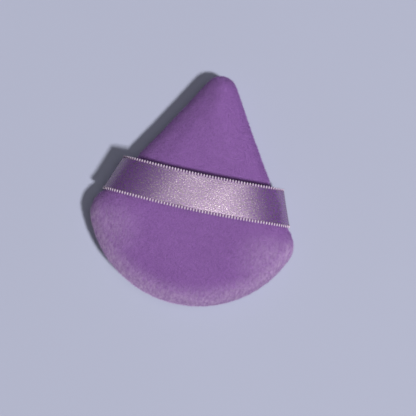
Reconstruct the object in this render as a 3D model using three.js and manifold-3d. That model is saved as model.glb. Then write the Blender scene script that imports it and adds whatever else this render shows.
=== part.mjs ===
// A triangular powder puff: two velour panels sewn edge to edge round a sponge, with a satin ribbon
// caught in the side seams as a finger strap. The puff lies on its powdering face.
// Units are millimetres and degrees. X runs across the puff, Y from its base to its apex, Z up.
// The origin is on the table, under the middle of the puff's length and width.

import * as THREE from "three";
import { mergeVertices } from "three/addons/utils/BufferGeometryUtils.js";
import Module from "manifold-3d";

const wasm = await Module();
wasm.setup();

// Outline of the pad, seen from above: a rounded apex, two slightly hollow sides, two lobes, a round base
const PUFF_LENGTH = 80;
const PUFF_WIDTH = 71;
const APEX_RADIUS = 5.7;
const LOBE_RADIUS = 8.7;
const LOBE_RISE = 26.2; // the lobes' centres above the lowest point of the base
const SIDE_RADIUS = 760;

// Pad, measured from the seam plane that halves it
const FACE_DEPTH = 7;
const FACE_FLATTENED = 0.5; // how much of the face's crown the table presses flat
const BACK_CROWN = 7;
const CROWN_FULLNESS = 5; // higher is flatter across the middle
const EDGE_SQUARENESS = 2.2; // 2 gives a round edge, more a squarer one

// Velour cover and its seam
const VELOUR_THICKNESS = 1.2;
const SEAM_ALLOWANCE = 4; // the edges turned in between the two panels
const SEAM_GAP = 0.3;
const SEAM_GROOVE_DEPTH = 0.9;
const SEAM_GROOVE_HEIGHT = 1; // on each side of the seam plane
const SPONGE_CLEARANCE = 0.3;

// Sewing thread, lying in the seam's groove
const THREAD_DIAMETER = 0.4;
const THREAD_CLEARANCE = 0.3;
const CLOSING_LENGTH = 26; // hand-sewn stretch where the cover was turned and filled
const THREAD_END_GAP = 0.6;

// Ribbon strap
const STRAP_FROM_BASE = 40; // its middle line above the lowest point of the base
const RIBBON_WIDTH = 13;
const RIBBON_THICKNESS = 0.3;
const FINGER_GAP = 6; // between the back's crown and the strap
const ARCH_SQUARENESS = 2.7;
const FOLD_RADIUS = 0.4;
const TAB_AT_APEX_EDGE = 3.9; // how far the ribbon stands out from the side before it folds up
const TAB_AT_BASE_EDGE = 0.15;
const RIBBON_CLEARANCE = 0.3;

// Fineness of the facets
const BASE_STEPS = 28;
const LOBE_STEPS = 9;
const SIDE_STEPS = 6;
const APEX_STEPS = 10;
const SKIN_RINGS = 8;
const LINING_RINGS = 5;
const RING_CROWDING = 2.2; // above 1 draws the rings towards the edge
const ARCH_STEPS = 11;
const FOLD_STEPS = 3;
const RIBBON_STRIPS = 4;
const THREAD_SIDES = 6;
const THREAD_STEP = 2;

// Arcs of the outline, counter-clockwise from the middle of the base

function arc(centre, radius, from, to, hollow = false) {
  return { centre, radius, from, to, hollow };
}

function pointOnArc({ centre, radius, hollow }, angle) {
  const ray = new THREE.Vector2(Math.cos(angle), Math.sin(angle));
  const at = centre.clone().addScaledVector(ray, radius);
  return { at, outward: hollow ? ray.clone().negate() : ray };
}

function sampleArc(piece, steps) {
  const turn = (piece.to - piece.from) / steps;
  return Array.from({ length: steps + 1 }, (_, i) => pointOnArc(piece, piece.from + i * turn));
}

function mirrorArc({ centre, radius, from, to, hollow }) {
  return arc(new THREE.Vector2(-centre.x, centre.y), radius, Math.PI - to, Math.PI - from, hollow);
}

// The centre of the circle of the given radius that touches both circles from outside, on their right
function touchingCentre(upper, upperRadius, lower, lowerRadius, radius) {
  const between = lower.clone().sub(upper);
  const distance = between.length();
  const upperReach = radius + upperRadius;
  const lowerReach = radius + lowerRadius;
  const along = (distance ** 2 + upperReach ** 2 - lowerReach ** 2) / (2 * distance);
  const aside = Math.sqrt(upperReach ** 2 - along ** 2);
  const direction = between.divideScalar(distance);
  const right = new THREE.Vector2(-direction.y, direction.x);
  return upper.clone().addScaledVector(direction, along).addScaledVector(right, aside);
}

function angleTo(from, to) {
  return Math.atan2(to.y - from.y, to.x - from.x);
}

const baseY = -PUFF_LENGTH / 2;
const apexCentre = new THREE.Vector2(0, PUFF_LENGTH / 2 - APEX_RADIUS);
const lobeCentre = new THREE.Vector2(PUFF_WIDTH / 2 - LOBE_RADIUS, baseY + LOBE_RISE);
const baseRadius =
  (lobeCentre.x ** 2 + LOBE_RISE ** 2 - LOBE_RADIUS ** 2) / (2 * (LOBE_RISE - LOBE_RADIUS));
const baseCentre = new THREE.Vector2(0, baseY + baseRadius);
const sideCentre = touchingCentre(apexCentre, APEX_RADIUS, lobeCentre, LOBE_RADIUS, SIDE_RADIUS);

const baseEnd = angleTo(baseCentre, lobeCentre);
const lobeEnd = angleTo(lobeCentre, sideCentre);
const sideStart = angleTo(sideCentre, lobeCentre) + 2 * Math.PI;
const sideEnd = angleTo(sideCentre, apexCentre) + 2 * Math.PI;
const apexStart = angleTo(apexCentre, sideCentre);

const rightBase = arc(baseCentre, baseRadius, -Math.PI / 2, baseEnd);
const rightLobe = arc(lobeCentre, LOBE_RADIUS, baseEnd, lobeEnd);
const rightSide = arc(sideCentre, SIDE_RADIUS, sideStart, sideEnd, true);
const apex = arc(apexCentre, APEX_RADIUS, apexStart, Math.PI - apexStart);

// The pad's half width and the side arc's angle, at a place along Y between the lobes and the apex
function sideAngle(y) {
  return Math.PI - Math.asin((y - sideCentre.y) / SIDE_RADIUS);
}

function sideX(y) {
  return pointOnArc(rightSide, sideAngle(y)).at.x;
}

const outline = [
  [rightBase, BASE_STEPS / 2],
  [rightLobe, LOBE_STEPS],
  [rightSide, SIDE_STEPS],
  [apex, APEX_STEPS],
  [mirrorArc(rightSide), SIDE_STEPS],
  [mirrorArc(rightLobe), LOBE_STEPS],
  [mirrorArc(rightBase), BASE_STEPS / 2],
].flatMap(([piece, steps]) => sampleArc(piece, steps).slice(0, -1));

function centroid(points) {
  const sum = new THREE.Vector2();
  let area = 0;
  points.forEach(({ at: a }, i) => {
    const b = points[(i + 1) % points.length].at;
    const cross = a.x * b.y - b.x * a.y;
    area += cross;
    sum.addScaledVector(a.clone().add(b), cross);
  });
  return sum.divideScalar(3 * area);
}

// Rings inside the outline: true insets near the edge that turn into scaled copies towards the middle
const middle = centroid(outline);
const facingOf = ({ at, outward }) => outward.dot(at.clone().sub(middle));
const reach = Math.min(...outline.map(facingOf));
const evenInset = reach / 3;

function ringPoint(point, inset) {
  const even = Math.min(inset, evenInset) / facingOf(point);
  const rest = Math.max(0, inset - evenInset) / (reach - evenInset);
  return point.at.clone().lerp(middle, even + (1 - even) * rest);
}

// A closed solid from a profile of [inset, height] pairs that starts and ends over the pad's middle
function padSolid(profile) {
  const count = outline.length;
  const positions = [];
  const faces = [];
  const rings = profile.slice(1, -1);
  for (const [inset, height] of rings)
    for (const point of outline) {
      const { x, y } = ringPoint(point, inset);
      positions.push(x, y, height);
    }
  const first = rings.length * count;
  positions.push(middle.x, middle.y, profile[0][1]);
  positions.push(middle.x, middle.y, profile.at(-1)[1]);
  const lastRing = (rings.length - 1) * count;
  for (let i = 0; i < count; i++) {
    const next = (i + 1) % count;
    faces.push(first, i, next);
    faces.push(first + 1, lastRing + next, lastRing + i);
    for (let ring = 0; ring < lastRing; ring += count) {
      const outer = ring + count;
      faces.push(ring + i, outer + i, outer + next, ring + i, outer + next, ring + next);
    }
  }
  return indexed(positions, faces);
}

function indexed(positions, faces) {
  const geometry = new THREE.BufferGeometry();
  geometry.setAttribute("position", new THREE.Float32BufferAttribute(positions, 3));
  geometry.setIndex(faces);
  geometry.computeVertexNormals();
  return geometry;
}

// Crowned skins of the pad. A skin lies a given depth inside the velour's outer surface.

function crownHeight(crown, skin, inset) {
  const share = THREE.MathUtils.clamp((inset - skin) / (reach - skin), 0, 1);
  return (crown - skin) * (1 - (1 - share) ** CROWN_FULLNESS) ** (1 / EDGE_SQUARENESS);
}

function insetAtHeight(crown, skin, height) {
  const full = (height / (crown - skin)) ** EDGE_SQUARENESS;
  return skin + (reach - skin) * (1 - (1 - full) ** (1 / CROWN_FULLNESS));
}

// [inset, height above the seam plane] from the middle out to where the skin comes down to `lowest`
function crownProfile(crown, skin, lowest, rings, flattened = 0) {
  const outermost = insetAtHeight(crown, skin, lowest);
  const insets = Array.from(
    { length: rings + 1 },
    (_, i) => outermost + (reach - outermost) * (1 - i / rings) ** RING_CROWDING,
  );
  if (flattened > 0) insets.push(insetAtHeight(crown, skin, crown - skin - flattened));
  insets.sort((a, b) => b - a);
  return insets.map((inset) => [
    inset,
    Math.min(crownHeight(crown, skin, inset), crown - skin - flattened),
  ]);
}

const seamZ = FACE_DEPTH;
const faceCrown = FACE_DEPTH + FACE_FLATTENED;
const flangeFrom = SEAM_GAP / 2;
const flangeTo = flangeFrom + VELOUR_THICKNESS;

// One velour panel as a profile of heights above the seam plane: skin, groove, turned-in edge, lining side
function panelProfile(crown, flattened) {
  return [
    ...crownProfile(crown, 0, SEAM_GROOVE_HEIGHT, SKIN_RINGS, flattened),
    [SEAM_GROOVE_DEPTH, flangeFrom],
    [SEAM_ALLOWANCE, flangeFrom],
    [SEAM_ALLOWANCE, flangeTo],
    ...crownProfile(crown, VELOUR_THICKNESS, flangeTo, LINING_RINGS, flattened).reverse(),
  ];
}

const aboveSeam = ([inset, height]) => [inset, seamZ + height];
const belowSeam = ([inset, height]) => [inset, seamZ - height];

function backPanel() {
  return padSolid(panelProfile(BACK_CROWN, 0).map(aboveSeam));
}

function facePanel() {
  return padSolid(panelProfile(faceCrown, FACE_FLATTENED).map(belowSeam).reverse());
}

// The sponge fills the cover, with a channel round its edge where the turned-in edges bite
function spongeCore() {
  const skin = VELOUR_THICKNESS + SPONGE_CLEARANCE;
  const lowest = flangeTo + SPONGE_CLEARANCE;
  const channel = SEAM_ALLOWANCE + SPONGE_CLEARANCE;
  const upper = crownProfile(BACK_CROWN, skin, lowest, LINING_RINGS);
  const lower = crownProfile(faceCrown, skin, lowest, LINING_RINGS, FACE_FLATTENED);
  const bite = [channel, lowest];
  return padSolid([...[...upper, bite].map(aboveSeam), ...[...lower, bite].map(belowSeam).reverse()]);
}

// Ribbon strap: a tab out of the seam, a fold, an arch over the back, and the same on the other side

const strapY = baseY + STRAP_FROM_BASE;
const strapTop = seamZ + BACK_CROWN + FINGER_GAP + RIBBON_THICKNESS / 2;

// The right half of the ribbon's middle line, at a share of its width from the base edge to the apex edge,
// from the seam to the top of the arch
function strapHalfLine(share) {
  const seamX = sideX(ribbonY(share)) + RIBBON_CLEARANCE;
  const foldX = seamX + THREE.MathUtils.lerp(TAB_AT_BASE_EDGE, TAB_AT_APEX_EDGE, share);
  const archX = foldX + FOLD_RADIUS;
  const archZ = seamZ + FOLD_RADIUS;
  const line = [new THREE.Vector2(seamX, seamZ)];
  for (let i = 0; i < FOLD_STEPS; i++) {
    const turn = (i / FOLD_STEPS) * (Math.PI / 2);
    line.push(
      new THREE.Vector2(foldX + FOLD_RADIUS * Math.sin(turn), archZ - FOLD_RADIUS * Math.cos(turn)),
    );
  }
  for (let i = 0; i <= ARCH_STEPS; i++) {
    const turn = (i / ARCH_STEPS) * (Math.PI / 2);
    const across = Math.max(0, Math.cos(turn)) ** (2 / ARCH_SQUARENESS);
    const up = Math.sin(turn) ** (2 / ARCH_SQUARENESS);
    line.push(new THREE.Vector2(archX * across, archZ + (strapTop - archZ) * up));
  }
  return line;
}

function ribbonY(share) {
  return strapY + RIBBON_WIDTH * (share - 0.5);
}

function strapLine(share) {
  const right = strapHalfLine(share);
  const left = right.slice(0, -1).reverse();
  return [...right, ...left.map(({ x, y: z }) => new THREE.Vector2(-x, z))];
}

// Unit normals of a line, pointing to the outside of the arch
function lineNormals(line) {
  return line.map((_, i) => {
    const before = line[Math.max(0, i - 1)];
    const after = line[Math.min(line.length - 1, i + 1)];
    const along = after.clone().sub(before).normalize();
    return new THREE.Vector2(along.y, -along.x);
  });
}

function ribbonStrap() {
  const positions = [];
  const faces = [];
  for (let strip = 0; strip <= RIBBON_STRIPS; strip++) {
    const share = strip / RIBBON_STRIPS;
    const line = strapLine(share);
    const normals = lineNormals(line);
    for (const side of [RIBBON_THICKNESS / 2, -RIBBON_THICKNESS / 2])
      line.forEach((at, i) => {
        const { x, y: z } = at.clone().addScaledVector(normals[i], side);
        positions.push(x, ribbonY(share), z);
      });
  }
  const length = positions.length / 3 / (RIBBON_STRIPS + 1) / 2;
  const vertex = (strip, inner, i) => (2 * strip + inner) * length + i;
  const quad = (a, b, c, d) => faces.push(a, b, c, a, c, d);
  for (let strip = 0; strip < RIBBON_STRIPS; strip++) {
    const [low, high] = [strip, strip + 1];
    for (let i = 0; i < length - 1; i++) {
      quad(vertex(low, 0, i), vertex(high, 0, i), vertex(high, 0, i + 1), vertex(low, 0, i + 1));
      quad(vertex(low, 1, i), vertex(low, 1, i + 1), vertex(high, 1, i + 1), vertex(high, 1, i));
    }
    const end = length - 1;
    quad(vertex(low, 1, 0), vertex(high, 1, 0), vertex(high, 0, 0), vertex(low, 0, 0));
    quad(vertex(low, 0, end), vertex(high, 0, end), vertex(high, 1, end), vertex(low, 1, end));
  }
  for (let i = 0; i < length - 1; i++) {
    const far = RIBBON_STRIPS;
    quad(vertex(0, 1, i), vertex(0, 0, i), vertex(0, 0, i + 1), vertex(0, 1, i + 1));
    quad(vertex(far, 0, i), vertex(far, 1, i), vertex(far, 1, i + 1), vertex(far, 0, i + 1));
  }
  return indexed(positions, faces);
}

// Plan of a ribbon end inside the seam, on the right, grown by a margin on every side
function tailPlan(margin) {
  const low = ribbonY(0) - margin;
  const high = ribbonY(1) + margin;
  const slant = Math.hypot(1, (sideX(high) - sideX(low)) / (high - low));
  const inset = (SEAM_ALLOWANCE + margin) * slant;
  const plan = new THREE.Shape();
  plan.moveTo(sideX(low) - inset, low);
  plan.lineTo(sideX(low) + margin, low);
  plan.lineTo(sideX(high) + margin, high);
  plan.lineTo(sideX(high) - inset, high);
  plan.closePath();
  return plan;
}

function plateInSeam(plan, thickness) {
  const plate = new THREE.ExtrudeGeometry(plan, { depth: thickness, bevelEnabled: false });
  return plate.translate(0, 0, seamZ - thickness / 2);
}

const ribbonTail = () => plateInSeam(tailPlan(0), RIBBON_THICKNESS);
const tailPocket = () =>
  plateInSeam(tailPlan(RIBBON_CLEARANCE), RIBBON_THICKNESS + 2 * RIBBON_CLEARANCE);

function mirrored(geometry) {
  const copy = bare(geometry).scale(-1, 1, 1);
  copy.setIndex(Array.from(copy.index.array).reverse());
  copy.computeVertexNormals();
  return copy;
}

// A copy with only merged positions and faces
function bare(geometry) {
  const copy = geometry.clone();
  copy.deleteAttribute("normal");
  copy.deleteAttribute("uv");
  return mergeVertices(copy);
}

// Sewing thread: a thin tube that follows stretches of the outline, clear of the seam groove's two faces

function threadInset() {
  const rise = SEAM_GROOVE_HEIGHT - flangeFrom;
  const apart = THREAD_DIAMETER / 2 + THREAD_CLEARANCE;
  const faceLength = Math.hypot(SEAM_GROOVE_DEPTH, rise);
  return SEAM_GROOVE_DEPTH - (apart * faceLength - flangeFrom * SEAM_GROOVE_DEPTH) / rise;
}

function threadRun(pieces) {
  const points = pieces.flatMap((piece, i) => {
    const length = Math.abs(piece.to - piece.from) * piece.radius;
    const samples = sampleArc(piece, Math.max(2, Math.ceil(length / THREAD_STEP)));
    return i === 0 ? samples : samples.slice(1);
  });
  const centres = points.map(({ at, outward }) => {
    const { x, y } = at.clone().addScaledVector(outward, -threadInset());
    return new THREE.Vector3(x, y, seamZ);
  });
  const section = new THREE.Shape();
  section.absarc(0, 0, THREAD_DIAMETER / 2, 0, 2 * Math.PI);
  return new THREE.ExtrudeGeometry(section, {
    extrudePath: new THREE.CatmullRomCurve3(centres),
    steps: centres.length - 1,
    curveSegments: THREAD_SIDES / 2,
  });
}

const closingAngle = CLOSING_LENGTH / 2 / baseRadius;
const closingGap = THREAD_END_GAP / baseRadius;

function apexThread() {
  const side = { ...rightSide, from: sideAngle(ribbonY(1) + THREAD_END_GAP) };
  return threadRun([side, apex, mirrorArc(side)]);
}

function rightThread() {
  const base = { ...rightBase, from: rightBase.from + closingAngle + closingGap };
  const side = { ...rightSide, to: sideAngle(ribbonY(0) - THREAD_END_GAP) };
  return threadRun([base, rightLobe, side]);
}

function closingThread() {
  const bottom = -Math.PI / 2;
  return threadRun([arc(baseCentre, baseRadius, bottom - closingAngle, bottom + closingAngle)]);
}

// Cutting one closed solid out of another

function solidOf(geometry) {
  const { index, attributes } = bare(geometry);
  return new wasm.Manifold(
    new wasm.Mesh({
      numProp: 3,
      vertProperties: attributes.position.array,
      triVerts: new Uint32Array(index.array),
    }),
  );
}

function cut(geometry, tools) {
  const mesh = tools.reduce((rest, tool) => rest.subtract(solidOf(tool)), solidOf(geometry)).getMesh();
  return indexed(mesh.vertProperties, Array.from(mesh.triVerts));
}

// Materials

const velour = new THREE.MeshStandardMaterial({ color: 0x8a5fa6, roughness: 0.95, metalness: 0 });
const satin = new THREE.MeshStandardMaterial({ color: 0x9a78b0, roughness: 0.4, metalness: 0 });
const sponge = new THREE.MeshStandardMaterial({ color: 0xf3f0ea, roughness: 1, metalness: 0 });
const thread = new THREE.MeshStandardMaterial({ color: 0x7c5498, roughness: 0.7, metalness: 0 });

// Assembly

const puff = new THREE.Group();

function place(name, geometry, material) {
  const mesh = new THREE.Mesh(geometry, material);
  mesh.name = name;
  puff.add(mesh);
}

const pockets = [tailPocket(), mirrored(tailPocket())];
place("back_panel", cut(backPanel(), pockets), velour);
place("face_panel", cut(facePanel(), pockets), velour);
place("sponge_core", spongeCore(), sponge);
place("ribbon_strap", ribbonStrap(), satin);
place("ribbon_tail_right", ribbonTail(), satin);
place("ribbon_tail_left", mirrored(ribbonTail()), satin);
place("seam_thread_apex", apexThread(), thread);
place("seam_thread_right", rightThread(), thread);
place("seam_thread_left", mirrored(rightThread()), thread);
place("closing_thread", closingThread(), thread);

export default puff;
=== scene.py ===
# %% [markdown]
# # A triangular velour powder puff
#
# The puff is a pad of two velour panels, sewn edge to edge round a piece of foam. A satin ribbon goes over
# its back and into the side seams, and the fingers slide under it. The CAD model fixes where each piece is
# and how it moves. This lesson gives the pieces their cloth: the pile of the velour, the weave of the
# ribbon, the twist of the thread and the cells of the foam.
#
# Everything is in metres, in the CAD model's frame: X across the puff, Y from its base to its apex, Z up.

# %% Load the CAD frame
import math

import bmesh
import bpy
import numpy as np
from mathutils import Matrix, Vector, kdtree


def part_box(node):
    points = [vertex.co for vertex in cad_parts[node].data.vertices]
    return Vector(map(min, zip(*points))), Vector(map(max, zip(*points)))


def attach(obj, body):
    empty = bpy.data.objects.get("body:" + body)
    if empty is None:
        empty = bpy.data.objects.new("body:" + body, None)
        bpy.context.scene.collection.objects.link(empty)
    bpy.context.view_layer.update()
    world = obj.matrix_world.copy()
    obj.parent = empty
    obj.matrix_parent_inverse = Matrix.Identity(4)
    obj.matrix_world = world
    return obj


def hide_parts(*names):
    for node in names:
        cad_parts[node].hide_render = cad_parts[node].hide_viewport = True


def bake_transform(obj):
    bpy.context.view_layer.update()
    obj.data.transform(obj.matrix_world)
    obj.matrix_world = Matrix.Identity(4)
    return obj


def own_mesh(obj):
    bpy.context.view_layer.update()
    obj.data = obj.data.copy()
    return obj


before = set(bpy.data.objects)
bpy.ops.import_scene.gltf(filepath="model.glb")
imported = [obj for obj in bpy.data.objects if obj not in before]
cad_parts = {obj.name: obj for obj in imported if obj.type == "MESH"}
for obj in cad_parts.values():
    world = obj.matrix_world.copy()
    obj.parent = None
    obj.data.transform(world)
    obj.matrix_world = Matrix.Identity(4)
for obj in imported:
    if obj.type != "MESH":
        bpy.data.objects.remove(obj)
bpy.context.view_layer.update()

MM = 0.001

# %% [markdown]
# ## Small helpers
#
# Blender's operators act on whatever is selected and active. These helpers make that explicit: one object
# is selected alone before it is shaped, and a modifier is applied as soon as it has done its work. Where a
# shape needs a rule for each point, the points are read into an array, moved and written back.

# %% Helpers for operators
def select_only(piece):
    bpy.ops.object.select_all(action="DESELECT")
    piece.select_set(True)
    bpy.context.view_layer.objects.active = piece


def edit_all(piece):
    select_only(piece)
    bpy.ops.object.mode_set(mode="EDIT")
    bpy.ops.mesh.select_all(action="SELECT")


def leave_edit_mode():
    bpy.ops.object.mode_set(mode="OBJECT")


def apply_modifier(piece, modifier):
    select_only(piece)
    bpy.ops.object.modifier_apply(modifier=modifier.name)


def smooth(piece):
    select_only(piece)
    bpy.ops.object.shade_smooth()


def copy_of(piece, name):
    twin = piece.copy()
    twin.data = piece.data.copy()
    twin.name = twin.data.name = name
    bpy.context.scene.collection.objects.link(twin)
    return twin


print("operator helpers ready")

# %% Helpers for points
def read_points(piece, field):
    values = np.zeros(len(piece.data.vertices) * 3)
    piece.data.vertices.foreach_get(field, values)
    return values.reshape(-1, 3)


def places_of(piece):
    return read_points(piece, "co")


def set_places(piece, places):
    piece.data.vertices.foreach_set("co", np.asarray(places, float).ravel())
    piece.data.update()


def keep_above(piece, height):
    places = places_of(piece)
    places[:, 2] = np.maximum(places[:, 2], height)
    set_places(piece, places)


def triangle_count(piece):
    return sum(len(face.vertices) - 2 for face in piece.data.polygons)


print("point helpers ready")

# %% [markdown]
# ## Camera
#
# The picture looks down on the puff from close to the vertical, with the puff's apex leaning to the
# right. The camera is aimed at a point a little below and to the right of the pad's middle, because the
# puff isn't quite centred in the frame. The lens follows from the width that the picture spans at the pad.

# %% Camera
CAMERA_AZIMUTH = math.radians(12)
CAMERA_ELEVATION = math.radians(88.5)
CAMERA_DISTANCE = 0.30
PICTURE_WIDTH = 0.1432
SENSOR_WIDTH = 36
AIM_RIGHT = 2.7 * MM
AIM_DOWN = 6.2 * MM

seam_z = (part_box("back_panel")[0].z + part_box("face_panel")[1].z) / 2
camera_right = Vector((math.cos(CAMERA_AZIMUTH), math.sin(CAMERA_AZIMUTH), 0))
camera_back = Vector((
    math.cos(CAMERA_ELEVATION) * math.sin(CAMERA_AZIMUTH),
    -math.cos(CAMERA_ELEVATION) * math.cos(CAMERA_AZIMUTH),
    math.sin(CAMERA_ELEVATION),
))
camera_up = camera_back.cross(camera_right)
aim = Vector((0, 0, seam_z)) + AIM_RIGHT * camera_right - AIM_DOWN * camera_up

bpy.ops.object.camera_add(location=aim + CAMERA_DISTANCE * camera_back)
camera = bpy.context.object
camera.rotation_euler = camera_back.to_track_quat("Z", "Y").to_euler()
camera.data.sensor_width = SENSOR_WIDTH
camera.data.lens = SENSOR_WIDTH * CAMERA_DISTANCE / PICTURE_WIDTH
bpy.context.scene.camera = camera
print("lens", round(camera.data.lens, 1), "mm, seam plane at", round(seam_z / MM, 2), "mm")

# %% [markdown]
# ## Floor and light
#
# A pale, cool sheet lies under the puff. The main lamp stands on the right of the picture, so the pad
# throws its shadow to the upper left. A wide, dim softbox hangs overhead: the satin mirrors it as one broad
# highlight. An even pale sky fills the shadows.

# %% Floor and light
FLOOR_COLOUR = (0.47, 0.49, 0.63, 1)
FLOOR_SIZE = 4
LAMP_AZIMUTH = -23
LAMP_ELEVATION = 59
LAMP_DISTANCE = 6
LAMP_WIDTH = 0.67
LAMP_WATTS = 308
SOFTBOX_AZIMUTH = 20
SOFTBOX_ELEVATION = 83.5
SOFTBOX_WIDTH = 3.5
SOFTBOX_WATTS = 61
SKY_COLOUR = (0.86, 0.9, 1.0, 1)
SKY_STRENGTH = 0.03

bpy.ops.mesh.primitive_plane_add(size=FLOOR_SIZE)
floor = bpy.context.object
floor.name = "floor"


def hang_lamp(azimuth, elevation, width, watts):
    turn, lift = math.radians(azimuth), math.radians(elevation)
    way = Vector((math.cos(lift) * math.cos(turn), math.cos(lift) * math.sin(turn), math.sin(lift)))
    bpy.ops.object.light_add(type="AREA", location=LAMP_DISTANCE * way)
    lamp = bpy.context.object
    lamp.rotation_euler = way.to_track_quat("Z", "Y").to_euler()
    lamp.data.shape = "DISK"
    lamp.data.size = width
    lamp.data.energy = watts


hang_lamp(LAMP_AZIMUTH, LAMP_ELEVATION, LAMP_WIDTH, LAMP_WATTS)
hang_lamp(SOFTBOX_AZIMUTH, SOFTBOX_ELEVATION, SOFTBOX_WIDTH, SOFTBOX_WATTS)

world = bpy.data.worlds.new("studio")
world.use_nodes = True
sky = world.node_tree.nodes["Background"]
sky.inputs["Color"].default_value = SKY_COLOUR
sky.inputs["Strength"].default_value = SKY_STRENGTH
bpy.context.scene.world = world
bpy.context.scene.view_settings.view_transform = "Standard"
print("floor, two lamps and a sky")

# %% [markdown]
# ## Starting a material
#
# Each finish is a Principled shader with its own pattern nodes. One helper gives a fresh material. Another
# fills a node's sockets by name: a number or a colour is set on the socket, and another node's output is
# linked to it. With these, each finish reads as a short recipe.

# %% Material helpers
# A Mix node has sockets for each kind of data. These are the ones for colours.
COLOUR_MIX_INPUTS = (0, 6, 7)
COLOUR_MIX_RESULT = 2


def new_finish(name):
    material = bpy.data.materials.new(name)
    material.use_nodes = True
    tree = material.node_tree
    return material, tree, tree.nodes["Principled BSDF"]


def plug(tree, value, socket):
    if isinstance(value, bpy.types.NodeSocket):
        tree.links.new(value, socket)
    else:
        socket.default_value = value


def wire(tree, node, **values):
    for name, value in values.items():
        plug(tree, value, node.inputs[name.replace("_", " ")])


def add_node(tree, kind, settings=None, **values):
    node = tree.nodes.new(kind)
    for key, value in (settings or {}).items():
        setattr(node, key, value)
    wire(tree, node, **values)
    return node


def mix_colours(tree, share, first, second):
    node = add_node(tree, "ShaderNodeMix", {"data_type": "RGBA"})
    for number, value in zip(COLOUR_MIX_INPUTS, (share, first, second)):
        plug(tree, value, node.inputs[number])
    return node.outputs[COLOUR_MIX_RESULT]


def object_places(tree):
    return add_node(tree, "ShaderNodeTexCoord").outputs["Object"]


def noise_node(tree, places, scale, detail=2.0):
    return add_node(tree, "ShaderNodeTexNoise", Vector=places, Scale=scale, Detail=detail).outputs["Fac"]


def dress(piece, material):
    piece.data.materials.clear()
    piece.data.materials.append(material)


print("material helpers ready")

# %% [markdown]
# ## Floor finish
#
# A sheet of paper isn't one flat tone. A large, soft noise makes parts of it a few per cent paler, which
# keeps the floor from looking painted.

# %% Floor finish
PAPER_CLOUDS = 9.0
PAPER_DETAIL = 3.0
PAPER_PALER = 1.04

paper, tree, paper_shader = new_finish("pale paper")
tone = noise_node(tree, object_places(tree), PAPER_CLOUDS, PAPER_DETAIL)
paler = (*(PAPER_PALER * channel for channel in FLOOR_COLOUR[:3]), 1)
wire(tree, paper_shader, Base_Color=mix_colours(tree, tone, FLOOR_COLOUR, paler), Roughness=0.85)
dress(floor, paper)
print("floor finished")

# %% [markdown]
# ## Backdrop
#
# From a low side view the camera looks past the edge of the floor. There it should see a pale studio wall,
# not the dim sky that fills the shadows. The world tells the two apart: rays straight from the camera get
# the pale colour, and all others get the dim light.

# %% Backdrop
BACKDROP_COLOUR = (0.5, 0.53, 0.65, 1)

tree = world.node_tree
wall = add_node(tree, "ShaderNodeBackground", Color=BACKDROP_COLOUR)
seen = add_node(tree, "ShaderNodeLightPath").outputs["Is Camera Ray"]
either = add_node(tree, "ShaderNodeMixShader", Fac=seen)
plug(tree, sky.outputs["Background"], either.inputs[1])
plug(tree, wall.outputs["Background"], either.inputs[2])
plug(tree, either.outputs["Shader"], tree.nodes["World Output"].inputs["Surface"])
print("backdrop:", len(tree.nodes), "world nodes")

# %% [markdown]
# ## Outline of the pad
#
# Both panels are cut to one outline: a small round apex, two sides that are a touch hollow, two lobes and a
# round base. On the bench it would be drawn with a compass, so here it is a chain of arcs that run into
# each other. The left half mirrors the right one.

# %% Arcs of the outline
APEX_RADIUS = 5.7 * MM
LOBE_RADIUS = 8.7 * MM
LOBE_RISE = 26.2 * MM
SIDE_RADIUS = 760 * MM

pad_low, pad_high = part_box("face_panel")
half_width = (pad_high.x - pad_low.x) / 2
base_y = pad_low.y
apex_y = pad_high.y


def touching_centre(upper, upper_radius, lower, lower_radius, radius):
    between = lower - upper
    distance = np.linalg.norm(between)
    upper_reach = radius + upper_radius
    along = (distance**2 + upper_reach**2 - (radius + lower_radius) ** 2) / (2 * distance)
    aside = math.sqrt(upper_reach**2 - along**2)
    way = between / distance
    return upper + along * way + aside * np.array([-way[1], way[0]])


apex_centre = np.array([0, apex_y - APEX_RADIUS])
lobe_centre = np.array([half_width - LOBE_RADIUS, base_y + LOBE_RISE])
base_radius = (lobe_centre[0] ** 2 + LOBE_RISE**2 - LOBE_RADIUS**2) / (2 * (LOBE_RISE - LOBE_RADIUS))
base_centre = np.array([0, base_y + base_radius])
side_centre = touching_centre(apex_centre, APEX_RADIUS, lobe_centre, LOBE_RADIUS, SIDE_RADIUS)


def side_x(y):
    return side_centre[0] - math.sqrt(SIDE_RADIUS**2 - (y - side_centre[1]) ** 2)


print("half width at the strap", round(side_x(0) / MM, 1), "mm, base radius", round(base_radius / MM, 1))

# %% Outline of the pad
OUTLINE_STEP = 0.5 * MM


def angle_between(start, end):
    return math.atan2(end[1] - start[1], end[0] - start[0])


def half_outline():
    base_end = angle_between(base_centre, lobe_centre)
    lobe_end = angle_between(lobe_centre, side_centre)
    side_start = angle_between(side_centre, lobe_centre)
    side_end = angle_between(side_centre, apex_centre)
    apex_start = angle_between(apex_centre, side_centre)
    arcs = [
        (base_centre, base_radius, -math.pi / 2, base_end, 1),
        (lobe_centre, LOBE_RADIUS, base_end, lobe_end, 1),
        (side_centre, SIDE_RADIUS, side_start, side_end, -1),
        (apex_centre, APEX_RADIUS, apex_start, math.pi / 2, 1),
    ]
    for centre, radius, start, end, facing in arcs:
        count = round(abs(end - start) * radius / OUTLINE_STEP)
        for angle in np.linspace(start, end, count, endpoint=False):
            ray = np.array([math.cos(angle), math.sin(angle)])
            yield np.concatenate([centre + radius * ray, facing * ray])


right_half = np.array(list(half_outline()))
apex_tip = np.array([[0, apex_y, 0, 1]])
left_half = right_half[:0:-1] * [-1, 1, -1, 1]
outline = np.concatenate([right_half, apex_tip, left_half])
outline_at, outline_out = outline[:, :2], outline[:, 2:]
pad_middle = Vector((0, outline_at[:, 1].mean(), seam_z))
print(len(outline), "points round the pad")

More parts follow.
